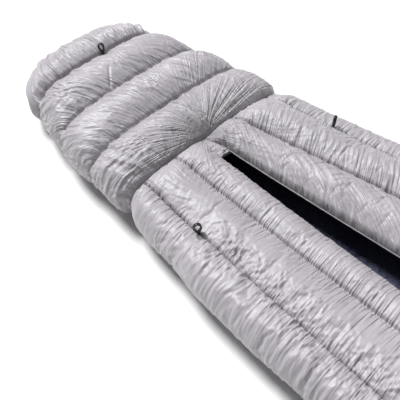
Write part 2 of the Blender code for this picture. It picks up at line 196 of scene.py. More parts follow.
# --- Middle surface ---
def section(s):
    """Half width, half height and middle height of the middle surface at s."""
    half_width = smooth(s, WIDTH_KNOTS, HALF_WIDTHS) - LOFT / 2
    height = smooth(s, HEIGHT_KNOTS, HEIGHTS)
    lift = FOOTBOX_LIFT - (FOOTBOX_LIFT + FLOOR_PRESS) * ease((s - S_HIP) / 0.12)
    return half_width, (height - LOFT) / 2, height / 2 + lift


def slit_x(s, side):
    """x of the slit's edge on one side, down to the gusset's end at the hip seam."""
    start, change = SLIT_EDGES[side]
    middle = (SLIT_EDGES[-1][0] + SLIT_EDGES[1][0]) / 2
    share = np.clip((s - S_HIP) / (S_SLIT - S_HIP), 0, 1)
    return (middle + side * GUSSET_HALF) * (1 - share) + start * share + change * np.maximum(s - S_SLIT, 0)


class Outline:
    """The middle surface's cross-section at s, measured along its own length from the top."""

    def __init__(self, s):
        t = np.linspace(0, 1, 400)
        quarter = math.pi / 2 * t ** 1.5
        half = np.concatenate([quarter, (math.pi - quarter[::-1])[1:]])
        self.phi = np.concatenate([half, (2 * math.pi - half[::-1])[1:]])
        a, b, centre = (float(v) for v in section(np.array(s)))
        power = np.where(np.cos(self.phi) > 0, TOP_POWER, FLOOR_POWER)
        across, up = -np.sin(self.phi), np.cos(self.phi)
        x = np.sign(across) * np.abs(across) ** (2 / power)
        z = np.sign(up) * np.abs(up) ** (2 / power)
        lean = np.sign(x) * np.abs(x) ** (power - 1) / a
        rise = np.sign(z) * np.abs(z) ** (power - 1) / b
        size = np.hypot(lean, rise)
        self.values = np.stack([a * x, centre + b * z, lean / size, rise / size])
        steps = np.hypot(np.diff(self.values[0]), np.diff(self.values[1]))
        self.arc = np.concatenate([[0], np.cumsum(steps)])
        self.half_width = a

    def at_x(self, x, top, side=0):
        """The arc where the upper or lower half is at x, counted on from the given side's own end."""
        power = TOP_POWER if top else FLOOR_POWER
        angle = math.asin(min(abs(x) / self.half_width, 1) ** (power / 2))
        arc = float(np.interp(angle if top else math.pi - angle, self.phi, self.arc))
        on_left = x < 0 if side == 0 else side < 0
        if side and x * side < 0:
            arc = -arc
        return arc if on_left else self.arc[-1] - arc

    def points(self, arcs):
        return [np.interp(arcs % self.arc[-1], self.arc, row) for row in self.values]


class Sheet:
    """A grid on the middle surface: points, normals, arcs along the section, chambers and seams."""

    ring = False

    def __init__(self, outlines, seams_at, cells):
        """outlines: (s, outline) of each row. seams_at gives the arc of each seam of an outline."""
        points, normals, arcs = [], [], []
        shares = [np.arange(1, count + 1) / count for count in cells]
        self.seams = np.array([seams_at(s, outline) for s, outline in outlines])
        for (s, outline), seams in zip(outlines, self.seams):
            chambers = [seams[k] + (seams[k + 1] - seams[k]) * share for k, share in enumerate(shares)]
            arcs.append(np.concatenate([seams[:1], *chambers]))
            x, z, nx, nz = outline.points(arcs[-1])
            points.append(np.stack([x, np.full_like(x, Y_SEAM - s), z], -1))
            normals.append(np.stack([nx, np.zeros_like(nx), nz], -1))
        self.points, self.normals, self.arcs = np.array(points), np.array(normals), np.array(arcs)
        self.s = np.array([s for s, _ in outlines])[:, None] + 0 * self.arcs
        self.place = np.concatenate([[0.0], *[k + share for k, share in enumerate(shares)]]) + 0 * self.arcs
        self.chamber = np.minimum(np.floor(self.place), self.seams.shape[1] - 2).astype(int)
        self.share = self.place - self.chamber

    def sewn(self):
        """True where the shell is held: along each seam and at both ends."""
        if self.ring:
            sewn = np.zeros(self.s.shape, bool)
            for level in (*RING_SEAMS, S_HIP, self.s.min()):
                sewn[np.argmin(np.abs(self.s[:, 0] - level))] = True
        else:
            sewn = np.isclose(self.place, np.round(self.place))
            sewn[[0, -1]] = True
        return sewn


def refine(values, breaks, ring=False):
    """Doubles the rows of values along a smooth curve that may bend sharply at the breaks."""
    count = len(values)
    at = np.arange(count if ring else count - 1)
    after = (at + 1) % count
    one, two = values[at], values[after]
    if ring:
        before_one, after_two = values[at - 1], values[(at + 2) % count]
    else:
        before_one, after_two = values[np.maximum(at - 1, 0)], values[np.minimum(at + 2, count - 1)]
    shape = (-1,) + (1,) * (values.ndim - 1)
    before_one = np.where(breaks[at].reshape(shape), 2 * one - two, before_one)
    after_two = np.where(breaks[after].reshape(shape), 2 * two - one, after_two)
    doubled = np.empty((2 * len(at) + (not ring),) + values.shape[1:])
    doubled[0:2 * len(at):2] = one
    doubled[1::2] = (9 * (one + two) - before_one - after_two) / 16
    if not ring:
        doubled[-1] = values[-1]
    return doubled


def refine_grid(grid, row_breaks, column_breaks, ring=False):
    tall = refine(grid, row_breaks)
    return refine(tall.swapaxes(0, 1), column_breaks, ring).swapaxes(0, 1)


def grid_normals(grid, like, ring=False):
    """Unit normals of a grid, on the same side as the rough normals given."""
    down = np.gradient(grid, axis=0)
    along = (np.roll(grid, -1, 1) - np.roll(grid, 1, 1)) if ring else np.gradient(grid, axis=1)
    normals = unit(np.cross(down, along))
    return normals * np.where((normals * like).sum(-1, keepdims=True) < 0, -1, 1)


class Fine:
    """A sheet at twice its resolution: the blown grid, its normals, s, arcs and distances from seams."""

    def __init__(self, sheet, grid):
        ring, sewn = sheet.ring, sheet.sewn()
        row_breaks, column_breaks = sewn.all(1), sewn.all(0)

        def doubled(values):
            return refine_grid(values, row_breaks, column_breaks, ring)

        rough = doubled(sheet.normals)
        self.grid, self.out = doubled(grid), unit(rough)
        self.normals = grid_normals(self.grid, rough, ring)
        self.s = refine(sheet.s[:, :1], row_breaks) + np.zeros(self.grid.shape[:2])
        if ring:
            girth = refine(sheet.girth[:, None], row_breaks)
            turn = np.arange(self.grid.shape[1]) / self.grid.shape[1]
            self.arcs = girth * ((turn + 0.5) % 1)
            self.away = np.minimum.reduce([np.abs(self.s - level) for level in (*RING_SEAMS, S_HIP)])
            self.along = self.arcs
        else:
            self.arcs, place = doubled(sheet.arcs), doubled(sheet.place)
            seams = refine(sheet.seams, row_breaks)
            self.chamber = np.minimum(np.floor(place + 1e-6), seams.shape[1] - 2).astype(int)
            self.share = place - self.chamber
            rows = np.arange(len(seams))[:, None]
            to_low = np.abs(self.arcs - seams[rows, self.chamber])
            to_high = np.abs(seams[rows, self.chamber + 1] - self.arcs)
            self.away = np.minimum(to_low, to_high)
            self.seam = np.where(to_low < to_high, self.chamber, self.chamber + 1)
            self.along = self.s
        self.x = self.grid[..., 0]


# --- Kinds of crease ---
def folds(u, v, seed):
    """Narrow ridges and sharp creases along v, on smooth ground."""
    ridge = (1 - np.abs(gradient_noise(u, v, seed))) ** 3 - 0.40
    other = gradient_noise(u + 0.5, v, seed + 500)
    return ridge + 0.55 * np.tanh(other / 0.12) * np.exp(-np.abs(other) / 0.28)


def puckers(along, away, seed, strength=1.0, slant=0.0, shortest=0.0085, reach=1.0):
    """Folds that start at a seam: fine and short beside it, fewer and longer further off."""
    total = 0
    slant += 0.6 * gradient_noise(along / 0.09, away / 0.2, seed + 7)
    for k, factor in enumerate((1.0, 1.7, 2.9)):
        wave = shortest * factor
        wander = 0.35 * gradient_noise(along / (4 * wave), away / (7 * wave), seed + 17 * k)
        fold = folds((along + slant * away) / wave + wander, away / (10 * wave) + k + 0.5, seed + k)
        gate = ease(0.55 + 1.1 * gradient_noise(along / (6 * wave), 0.2 * away / wave, seed + 40 + k))
        far = reach * 2.8 * wave * (0.5 + gate)
        total += 0.00125 * factor ** 0.55 * fold * (0.3 + 0.7 * gate) * np.exp(-(away / far) ** 1.3)
    return strength * total * ease(away / 0.005)


def drifts(across, along, seed, wave, length, size, bent=0.9):
    """Long creases that run along one way, in patches."""
    wander = bent * gradient_noise(across / (5 * wave), along / (0.9 * length), seed + 1)
    fold = folds(across / wave + wander, along / length, seed)
    finer = folds(1.9 * across / wave + 1.4 * wander, 1.4 * along / length, seed + 2)
    gate = ease(0.5 + 1.2 * gradient_noise(across / (6 * wave), along / (1.1 * length), seed + 3))
    return size * (fold + 0.5 * finer) * (0.15 + 0.85 * gate)


# --- Meshes ---
def grid_faces(rows, columns, ring, flip=False):
    j, i = np.meshgrid(np.arange(rows - 1), np.arange(columns if ring else columns - 1), indexing="ij")
    a, b = j * columns + i, j * columns + (i + 1) % columns
    faces = np.stack([a, a + columns, b + columns, b], -1).reshape(-1, 4)
    return faces[:, ::-1] if flip else faces


def mesh_object(name, points, faces, slots=None, materials=(), closed=True):
    """faces: one array for each number of corners. A closed mesh is turned to face outwards."""
    mesh = bpy.data.meshes.new(name)
    faces = [np.asarray(group) for group in faces if len(group)]
    corners = np.concatenate([group.ravel() for group in faces]).astype(np.int32)
    sizes = np.concatenate([np.full(len(group), group.shape[1]) for group in faces])
    mesh.vertices.add(len(points))
    mesh.vertices.foreach_set("co", np.asarray(points, np.float32).ravel())
    mesh.loops.add(len(corners))
    mesh.loops.foreach_set("vertex_index", corners)
    mesh.polygons.add(len(sizes))
    mesh.polygons.foreach_set("loop_start", (np.cumsum(sizes) - sizes).astype(np.int32))
    mesh.update(calc_edges=True)
    if closed:
        solid = bmesh.new()
        solid.from_mesh(mesh)
        if solid.calc_volume(signed=True) < 0:
            mesh.flip_normals()
        solid.free()
    for material in materials:
        mesh.materials.append(material)
    if slots is not None:
        mesh.polygons.foreach_set("material_index", np.asarray(slots, np.int32))
    mesh.shade_smooth()
    made = bpy.data.objects.new(name, mesh)
    bpy.context.scene.collection.objects.link(made)
    return made


# --- Inflating the shell ---
def cells_from(held, ring):
    """How many cells each point of a grid is from the nearest held one, up to FREE_CELLS."""
    count = np.where(held, 0, FREE_CELLS)
    for _ in range(FREE_CELLS):
        for axis, step in ((0, 1), (0, -1), (1, 1), (1, -1)):
            if axis == 1 and ring:
                continue
            count = np.minimum(count, np.roll(count, step, axis) + 1)
    return count


def inflate(shells):
    """Blows up each shell between its seams. shells: {name: (grid, sheet)}."""
    bodies = {}
    for name, (grid, sheet) in shells.items():
        rows, columns = grid.shape[:2]
        faces = [grid_faces(rows, columns, sheet.ring, name not in FLIPPED)]
        body = mesh_object("blown_" + name, grid.reshape(-1, 3), faces, closed=False)
        group = body.vertex_groups.new(name="held")
        group.add(np.flatnonzero(sheet.sewn().ravel()).tolist(), 1.0, "REPLACE")
        cloth = body.modifiers.new("cloth", "CLOTH")
        for word, value in CLOTH.items():
            setattr(cloth.settings, word, value)
        cloth.settings.effector_weights.gravity = 0
        cloth.collision_settings.use_collision = False
        bodies[name] = body
    scene = bpy.context.scene
    for number in range(1, FRAMES + 1):
        scene.frame_set(number)
    graph = bpy.context.evaluated_depsgraph_get()
    blown = {}
    for name, body in bodies.items():
        mesh = body.evaluated_get(graph).data
        found = np.empty(len(mesh.vertices) * 3)
        mesh.vertices.foreach_get("co", found)
        start, sheet = shells[name]
        move = found.reshape(start.shape) - start
        length = np.linalg.norm(move, axis=-1, keepdims=True)
        free = ease(cells_from(sheet.sewn(), sheet.ring) / FREE_CELLS)[..., None]
        blown[name] = start + free * move * np.minimum(1, MOST_MOVE / np.maximum(length, 1e-9))
        bpy.data.objects.remove(body)
    scene.frame_set(1)
    return blown


# --- Sheets of the quilt ---
def body_rows():
    """s of each row of a body sheet, from the hip seam to the head end."""
    return np.concatenate([[S_HIP], np.linspace(S_HIP + CELL, S_HEAD, int((S_HEAD - S_HIP) / CELL))])


def fullness(s):
    """0 at the hip seam and at the head end and 1 between them."""
    from_hip = np.sin(math.pi / 2 * np.clip((s - S_HIP) / 0.075, 0, 1)) ** 0.55
    from_head = np.sin(math.pi / 2 * np.clip((S_HEAD - s) / 0.05, 0, 1)) ** 0.5
    return from_hip * from_head


def seam_x(s, values):
    return float(smooth(np.array(s), SEAM_KNOTS, values))


def flap_sheet(side, outlines):
    def seams_at(s, outline):
        xs = slit_x(s, side), side * seam_x(s, INNER_SEAM[side]), side * seam_x(s, OUTER_SEAM)
        return [outline.at_x(x, True, side) for x in xs]

    return Sheet(outlines, seams_at, FLAP_CELLS)


def gusset_sheet(outlines):
    def seams_at(s, outline):
        xs = slit_x(s, -1) - GUSSET_TUCK, slit_x(s, 1) + GUSSET_TUCK
        return [outline.at_x(x, True, -1) for x in xs]

    return Sheet([row for row in outlines if row[0] <= GUSSET_END], seams_at, GUSSET_CELLS)


def body_sheet(outlines):
    def seams_at(s, outline):
        on_floor = [outline.at_x(share * outline.half_width, False) for share in FLOOR_SEAMS]
        outer = seam_x(s, OUTER_SEAM)
        return [outline.at_x(-outer, True), *on_floor, outline.at_x(outer, True)]

    return Sheet(outlines, seams_at, BODY_CELLS)


def ruffled(s):
    """0 where the left side seam lies smooth and 1 where it is ruffled."""
    return ease((s - RUFFLED_FROM) / 0.08)


def shape_body(sheet, levels, seed, rise):
    """Heights of a body sheet over the middle surface, before it is blown up."""
    s = sheet.s
    levels = np.stack([level + 0 * s[:, 0] for level in levels], -1)
    rows = np.arange(len(s))[:, None]
    base = levels[rows, sheet.chamber] * (1 - sheet.share) + levels[rows, sheet.chamber + 1] * sheet.share
    base = HIP_LEVEL + (base - HIP_LEVEL) * ease((s - S_HIP) / 0.05)
    lump = 1 + 0.13 * value_noise(s / 0.10, sheet.chamber * 3.7 + 0.5, seed)
    rise = np.asarray(rise)[np.minimum(sheet.chamber, len(rise) - 1)]
    return base + rise * np.sin(math.pi * np.clip(sheet.share, 0, 1)) ** 0.42 * fullness(s) * lump


def dipped(name, sheet, height):
    """The height over a sheet, drawn down round the gathered point of the hip seam."""
    if name == "body":
        return height
    away = np.hypot(sheet.points[..., 0] - GATHER[0], sheet.s - GATHER[1])
    on_top = sheet.normals[..., 2] > 0.3
    return height - np.where(on_top, GATHER_DIP * np.exp(-(away / GATHER_REACH) ** 2), 0)


def footbox_sheet():
    """The footbox from the hip seam to the toe's end. Its rows run from the head to the toes."""
    outlines = [(s, Outline(s)) for s in np.linspace(S_HIP, 0, int(S_HIP / CELL) + 1)]
    girth = [outline.arc[-1] for _, outline in outlines]
    sheet = Sheet(outlines, lambda s, outline: [0.0, outline.arc[-1]], (FOOT_CELLS,))
    sheet.ring = True
    for field in ("points", "normals", "arcs", "place", "s", "chamber", "share"):
        setattr(sheet, field, getattr(sheet, field)[:, :-1])
    last_points, last_normals, arcs = sheet.points[-1], sheet.normals[-1], sheet.arcs[-1]
    centre = float(section(np.array(0.0))[2])
    for share in np.linspace(0, 1, TOE_ROWS + 1)[1:] ** 0.9:
        angle = math.pi / 2 * share * 0.985
        reach, size = math.sin(angle) * (TOE_DEPTH - LOFT / 2), math.cos(angle) ** 0.55
        points = last_points.copy()
        points[:, 0] *= size
        points[:, 1] = Y_SEAM + reach
        points[:, 2] = centre + (points[:, 2] - centre) * size
        upright = 1 - share * share
        forward = np.full(FOOT_CELLS, share ** 1.4)
        lean = unit(np.stack([last_normals[:, 0] * upright, forward, last_normals[:, 2] * upright], -1))
        sheet.points = np.concatenate([sheet.points, points[None]])
        sheet.normals = np.concatenate([sheet.normals, lean[None]])
        sheet.s = np.concatenate([sheet.s, np.full((1, FOOT_CELLS), -reach)])
        sheet.arcs = np.concatenate([sheet.arcs, arcs[None]])
    sheet.girth = np.array(girth + girth[-1:] * TOE_ROWS)
    return sheet


def footbox_height(sheet):
    """Height of the footbox's shell over the middle surface, before it is blown up."""
    s = sheet.s
    ring = np.clip(np.floor(s / RING_WIDTH - 1e-9), 0, RING_COUNT - 1)
    share = np.clip(s / RING_WIDTH - ring, 0, 1)
    lump = 1 + 0.12 * value_noise(np.cos(sheet.arcs / 0.2) + 3, ring * 2.3, 31)
    crown = np.sin(math.pi * share) ** 0.42
    crown = np.where(s < -1e-6, 0.92 * np.clip(-s / 0.030, 0, 1) ** 0.5, crown)
    flank = 1 - ease((sheet.normals[..., 2] - 0.15) / 0.60)
    crown = 1 - (1 - crown) * (1 - 0.70 * flank)
    height = SEAM_LEVEL + RISE * crown * lump
    hip = 1 - ease((S_HIP - s) / 0.03)
    return height - (SEAM_LEVEL - HIP_LEVEL) * hip - 0.5 * RISE * hip * flank


def rest_on_floor(grid, lowest=0.0006, soft=0.0022):
    """Flattens softly what would hang below the floor."""
    lifted = grid.copy()
    over = lifted[..., 2] - lowest
    lifted[..., 2] = lowest + (over + np.sqrt(over * over + soft * soft)) / 2
    return lifted


def lining_height(sheet, seed):
    """Height of the crumpled lining over the middle surface."""
    share = np.mod(np.maximum(sheet.s, 0) / RING_WIDTH, 1) if sheet.ring else sheet.share
    fade = np.sin(math.pi * share) ** 0.6
    crumpled = drifts(sheet.arcs, sheet.s, seed, 0.026, 0.12, 0.007)
    crumpled += drifts(sheet.s, sheet.arcs, seed + 9, 0.022, 0.08, 0.005)
    return LINING_LEVEL + LINING_RISE * fade + crumpled * (0.12 + 0.88 * fade)


# --- Creases of the finished shell ---
def hip_gathers(fine, seed, strength):
    """Gathers along the hip seam."""
    from_hip = fine.s - S_HIP
    gathers = puckers(fine.arcs, np.maximum(from_hip, 0), seed, strength, 0.0, 0.011, 1.3)
    return gathers * clear_of_gather(fine.x, fine.s)


def radial(x, s, seed, size):
    """Long creases that run together at the gathered point of the hip seam."""
    dx, ds = x - GATHER[0], s - GATHER[1]
    r, angle = np.hypot(dx, ds), np.arctan2(ds, dx)
    turn = angle * 13.0 + 0.8 * gradient_noise(angle * 2.5, r / 0.08, seed + 3)
    fold = folds(turn, r / 0.22, seed) + 0.7 * folds(turn * 1.9, r / 0.16, seed + 1) * np.exp(-r / 0.25)
    return size * fold * np.clip(r / 0.04, 0, 1) * np.exp(-np.maximum(r - 0.06, 0) / 0.20)


def clear_of_gather(x, s):
    """0 at the gathered point, where only its own creases run, and 1 away from it."""
    return ease((np.hypot(x - GATHER[0], s - GATHER[1]) - 0.02) / 0.11)


def seam_line(fine):
    """The groove that the stitches draw, measured along the middle surface's normal."""
    groove = -GROOVE * np.exp(-(fine.away / GROOVE_WIDTH) ** 2)
    edges = ease((fine.s - S_HIP) / 0.01) if fine.s.max() > S_HIP + 0.01 else 1
    return groove * edges


def loop_dimple(fine):
    """How far the shell is drawn down round the root of the toe loop."""
    away = fine.grid - np.array(joint_pivot("toe_loop_hinge")[0])
    return -LOOP_DIMPLE * np.exp(-(away ** 2).sum(-1) / LOOP_DIMPLE_REACH ** 2)


def ruffle(fine, seam, way):
    """Tight crumples on both sides of the left side seam."""
    near = (fine.seam == seam) * ruffled(fine.s)
    across = way * fine.away
    tight = gradient_noise(fine.s / 0.008, across / 0.007, 7001)
    tight += gradient_noise(fine.s / 0.014, across / 0.010, 7002)
    bent = across + 0.012 * gradient_noise(fine.s / 0.03, across / 0.03, 7005)
    wide = folds((fine.s + 0.7 * bent) / 0.024, (bent - 0.3 * fine.s) / 0.034, 7003)
    lone = folds((fine.s - 0.5 * bent) / 0.045, bent / 0.05, 7004)
    large = 0.0042 * wide * np.exp(-(fine.away / 0.045) ** 2)
    large += 0.0048 * lone * np.exp(-(fine.away / 0.07) ** 2)
    return near * (0.0034 * tight * np.exp(-fine.away / 0.012) + large * ease(fine.away / 0.012))


def crumple(fine, seed, size=1.0):
    """Slight creases that the thin cloth has everywhere."""
    total = drifts(fine.arcs, fine.s, seed, 0.015, 0.06, 0.0004)
    return size * (total + drifts(fine.s, fine.arcs, seed + 5, 0.013, 0.05, 0.0004))


def flap_creases(fine, side):
    """The left flap is creased in arcs and the right one in long slanting folds."""
    seed = 1000 if side < 0 else 2000
    x, s = fine.x, fine.s
    crown = np.sin(math.pi * np.clip(fine.share, 0, 1)) ** 0.5 * ease((s - S_HIP) / 0.04)
    total = crumple(fine, seed + 700) * crown
    from_ruffle = ruffled(s)
    if side < 0:
        at_seams = (0.7, 0.4, 0.7 + 1.0 * from_ruffle)
        slants = (0.3, -0.3, 0.5)
        total += (fine.chamber == 0) * crown * drifts(s - 0.5 * x, x, seed + 40, 0.012, 0.06, 0.0011)
        across, along = (0.86 * x - s) / 1.32, (x + 0.86 * s) / 1.32
        arcs = drifts(across, along, seed + 50, 0.021, 0.15, 0.0022)
        total += (fine.chamber == 1) * crown * arcs * (0.10 + 0.90 * from_ruffle)
    else:
        at_seams = (1.5, 1.4, 1.4)
        slants = (0.9, 0.6, 0.4)
        diagonal = drifts((2.1 * x + s) / 2.33, (2.1 * s - x) / 2.33, seed + 41, 0.0135, 0.22, 0.0040, 0.25)
        total += (fine.chamber == 0) * crown * diagonal
        slanted = drifts(s + 0.6 * x, x, seed + 50, 0.014, 0.09, 0.0028, 0.4)
        total += (fine.chamber == 1) * crown * slanted
    for number in range(3):
        near = fine.seam == number
        total += near * puckers(s, fine.away, seed + 100 * number, at_seams[number], slants[number])
    fan = radial(x, s, seed + 650, GATHER_FOLD) * np.where(fine.chamber == 0, 0.6, 0.1)
    total += hip_gathers(fine, seed + 600, 1.2) + fan
    return total * ease((s - S_HIP) / 0.004) * ease((S_HEAD - s) / 0.004)


def body_creases(fine):
    """Puckers along the sides' and front's seams and slight creases on the side chambers."""
    seed, s = 3000, fine.s
    crown = np.sin(math.pi * np.clip(fine.share, 0, 1)) ** 0.5
    from_ruffle = ruffled(s)
    total = crumple(fine, seed + 700) * crown
    side = drifts(s + 0.25 * fine.arcs, fine.arcs, seed + 40, 0.017, 0.07, 0.0018)
    total += ((fine.chamber == 0) | (fine.chamber == 4)) * crown * side * (0.4 + 0.6 * from_ruffle)
    at_seams = (1.3 + 0.6 * from_ruffle, 1.3, 0.8, 0.8, 1.3, 1.4)
    for number, strength in enumerate(at_seams):
        near = fine.seam == number
        total += near * puckers(s, fine.away, seed + 100 * number, strength, 0.3)
    total += hip_gathers(fine, seed + 600, 1.3)
    return total * ease((s - S_HIP) / 0.004) * ease((S_HEAD - s) / 0.004)


def tuck(fine):
    """A narrow tuck in the cloth of the first ring, from its crest slantwise to the next seam."""
    dx, ds = fine.x - TUCK_START[0], fine.s - TUCK_START[1]
    lean = math.radians(TUCK_ANGLE)
    along, off = ds * math.cos(lean) - dx * math.sin(lean), dx * math.cos(lean) + ds * math.sin(lean)
    shown = ease(along / 0.02) * ease((TUCK_LENGTH - along) / 0.01) * (fine.grid[..., 2] > 0.09)
    return -TUCK_DEPTH * shown * np.exp(-(off / TUCK_WIDTH) ** 2)


def footbox_creases(fine):
    """Puckers along each ring's seams, bunched cloth on the left and the fan over the hip seam."""
    seed, s, arcs, x = 5000, fine.s, fine.arcs, fine.x
    on_top = ease((fine.normals[..., 2] + 0.1) / 0.4)
    total = crumple(fine, seed + 700, 0.9) + tuck(fine)
    levels = (*RING_SEAMS, S_HIP)
    for number, (level, (strength, reach, other)) in enumerate(zip(levels, FOOT_PUCKERS)):
        toe_side, away = s < level, np.abs(s - level)
        for way, power, far in ((True, strength, reach), (False, other, 1.4)):
            pucker = puckers(arcs, away, seed + 100 * number + 50 * way, power, 0.15, 0.0100, far)
            if level > RING_WIDTH:
                pucker *= clear_of_gather(x, s)
            total += (toe_side == way) * pucker * (away < 0.13)
    left = ease((-x - 0.09) / 0.10)
    bunch = drifts(s + 0.12 * np.abs(arcs), arcs, seed + 40, 0.021, 0.14, 0.0034)
    ring_share = np.mod(np.clip(s, 0, S_HIP) / RING_WIDTH, 1)
    total += bunch * left * np.sin(math.pi * ring_share) ** 0.6 * (s > 0)
    at_hip = ease((-x - 0.17) / 0.05) * np.exp(-((s - 0.395) / 0.030) ** 2)
    total += at_hip * drifts(s, arcs, seed + 45, 0.016, 0.07, 0.0048)
    total += radial(x, s, seed + 60, GATHER_FOLD) * on_top * ease((s - 0.27) / 0.05)
    return total * ease(fine.away / 0.005)


def gusset_creases(fine):
    creased = drifts(fine.x, fine.s, 6000, 0.009, 0.03, 0.0034)
    creased += drifts(fine.s, fine.x, 6010, 0.012, 0.03, 0.0020)
    return creased * np.sin(math.pi * np.clip(fine.share, 0, 1)) ** 0.5 * ease((fine.s - S_HIP) / 0.004)


# --- Skins ---
def closed_piece(name, outer, inner, materials, ring):
    """The fine outer grid and the coarse inner one, joined at their borders into one closed skin."""
    rows, columns = outer.shape[:2]
    low_rows, low_columns = inner.shape[:2]
    count, flip = rows * columns, name in FLIPPED
    points = np.concatenate([outer.reshape(-1, 3), inner.reshape(-1, 3)])
    out_faces = grid_faces(rows, columns, ring, flip)
    in_faces = grid_faces(low_rows, low_columns, ring, not flip) + count

    def border(fine, coarse):
        """Five-sided faces between a fine border and a coarse one with half as many steps."""
        steps = np.arange(len(coarse) if ring else len(coarse) - 1)
        a, b, c = fine[2 * steps], fine[2 * steps + 1], fine[(2 * steps + 2) % len(fine)]
        d, e = coarse[(steps + 1) % len(coarse)], coarse[steps]
        return np.stack([a, b, c, d, e], -1)

    fine_row, coarse_row = np.arange(columns), count + np.arange(low_columns)
    last, low_last = (rows - 1) * columns, (low_rows - 1) * low_columns
    rims, caps = [border(fine_row, coarse_row)], []
    if ring:
        out_cap = (last + np.arange(columns))[None, :]
        in_cap = (count + low_last + np.arange(low_columns))[None, :]
        caps = [out_cap if flip else out_cap[:, ::-1], in_cap[:, ::-1] if flip else in_cap]
    else:
        rims.append(border(fine_row + last, coarse_row + low_last)[:, ::-1])
        fine_column, coarse_column = np.arange(rows) * columns, count + np.arange(low_rows) * low_columns
        rims.append(border(fine_column, coarse_column)[:, ::-1])
        rims.append(border(fine_column + columns - 1, coarse_column + low_columns - 1))
    rims = np.concatenate(rims)
    rims = rims[:, ::-1] if flip else rims
    groups = [out_faces, in_faces, rims] + caps
    slots = [0] * len(out_faces) + [1] * len(in_faces) + [0] * len(rims) + ([0, 1] if caps else [])
    return mesh_object("quilt_" + name, points, groups, slots, materials)


def add_pleats(name, piece, fine):
    """Where each point of the shell lies by its seam, for the finest pleats of the material."""
    along, calm = fine.along, 1
    if name == "right":
        along = fine.s + np.where(fine.chamber == 0, 1.7, 0.5) * fine.x
    if name == "left":
        calm = 1 + (1 - ruffled(fine.s)) * np.where(fine.chamber == 0, 0.6, 2.0)
    count = fine.s.size
    places = np.zeros((len(piece.data.vertices), 3), np.float32)
    places[:count, 0], places[:count, 1] = along.ravel(), (fine.away * calm).ravel()
    places[count:, 1] = FAR_FROM_SEAM
    fan = np.zeros_like(places)
    away = fine.grid - np.array((GATHER[0], Y_SEAM - GATHER[1], HEIGHTS[1]))
    fan[:count, 0] = np.arctan2(-away[..., 1], away[..., 0]).ravel()
    fan[:count, 1] = (np.linalg.norm(away, axis=-1) * np.where(fine.s < S_HIP, 1, 4)).ravel()
    fan[count:, 1] = 1
    for word, vectors in (("pleats", places), ("fan", fan)):
        layer = piece.data.attributes.new(word, "FLOAT_VECTOR", "POINT")
        layer.data.foreach_set("vector", vectors.ravel())


# --- Tapes and loops ---
def rod_faces(rings, sides):
    """The faces of a closed rod made of rings of points."""
    ends = np.arange(sides)[None, ::-1], (rings - 1) * sides + np.arange(sides)[None, :]
    return [grid_faces(rings, sides, True), *ends]


def tube(name, path, across_size, up_size, across, finish, sides=10, wobble=0.0, seed=0):
    """A soft rounded strip along a path, made of rings whose first axis is across."""
    path = np.asarray(path)
    forward = unit(np.gradient(path, axis=0))
    across = unit(across - forward * (across * forward).sum(-1, keepdims=True))
    up = np.cross(forward, across)
    turns = np.arange(sides) / sides * 2 * math.pi
    length = np.concatenate([[0], np.cumsum(np.linalg.norm(np.diff(path, axis=0), axis=-1))])
    gather = 1 + wobble * (value_noise(length / 0.004, 0.5, seed) + value_noise(length / 0.011, 1.5, seed))
    ring = across_size * np.cos(turns)[None, :, None] * across[:, None]
    ring += up_size * np.sin(turns)[None, :, None] * up[:, None]
    points = path[:, None] + ring * gather[:, None, None]
    return mesh_object(name, points.reshape(-1, 3), rod_faces(len(path), sides), None, [finish])


def ribbon(name, path, across, thickness, width, finish):
    """A flat strip of webbing along a path, with slightly thicker edges."""
    path = np.asarray(path)
    forward = unit(np.gradient(path, axis=0))
    out = unit(np.cross(np.broadcast_to(across, path.shape), forward))
    spread = np.array([-0.5, -0.46, -0.36, -0.2, 0.0, 0.2, 0.36, 0.46, 0.5])
    thick = np.array([0.35, 0.62, 0.62, 0.46, 0.5, 0.46, 0.62, 0.62, 0.35])
    order = np.concatenate([spread, spread[::-1]])
    side = np.concatenate([thick, -thick[::-1]])
    ring = width * order[None, :, None] * across + thickness * side[None, :, None] * out[:, None]
    points = (path[:, None] + ring).reshape(-1, 3)
    return mesh_object(name, points, rod_faces(len(path), len(order)), None, [finish])


def webbing_loop(name, root, reach, across, lean, twist, finish):
    """A teardrop of webbing: its two legs meet at the root and go down into the seam together."""
    upright = Matrix.Rotation(math.radians(lean), 3, across) @ Vector((0, 0, 1))
    across = Matrix.Rotation(math.radians(twist), 3, upright) @ across
    apart = np.array(Vector(across).cross(upright))
    upright, across = np.array(upright), np.array(across, float)
    turns = 2 * math.pi * np.linspace(0, 1, 49)
    high = reach * (1 - np.cos(turns)) / 2 * 0.94
    wide = reach * LOOP_SLIM / 2 * np.sin(turns) * (0.35 + 0.65 * ease(high / reach / 0.6))
    wide += LEG_GAP * np.sign(np.sin(turns) + 1e-9)
    path = np.array(root) + high[:, None] * upright + wide[:, None] * apart
    tail = np.array(root) - np.linspace(LOOP_TAIL, 0.001, 8)[:, None] * upright
    path = np.concatenate([tail + LEG_GAP * apart, path[1:-1], tail[::-1] - LEG_GAP * apart])
    return ribbon(name, path, across, LOOP_THICK, LOOP_WIDTH, finish)


# --- Materials ---
def new_material(name, colour, roughness, **sockets):
    material = bpy.data.materials.new(name)
    material.use_nodes = True
    shader = material.node_tree.nodes["Principled BSDF"]
    shader.inputs["Base Color"].default_value = (*colour, 1)
    shader.inputs["Roughness"].default_value = roughness
    for socket, value in sockets.items():
        shader.inputs[socket.replace("_", " ")].default_value = value
    return material, material.node_tree, shader


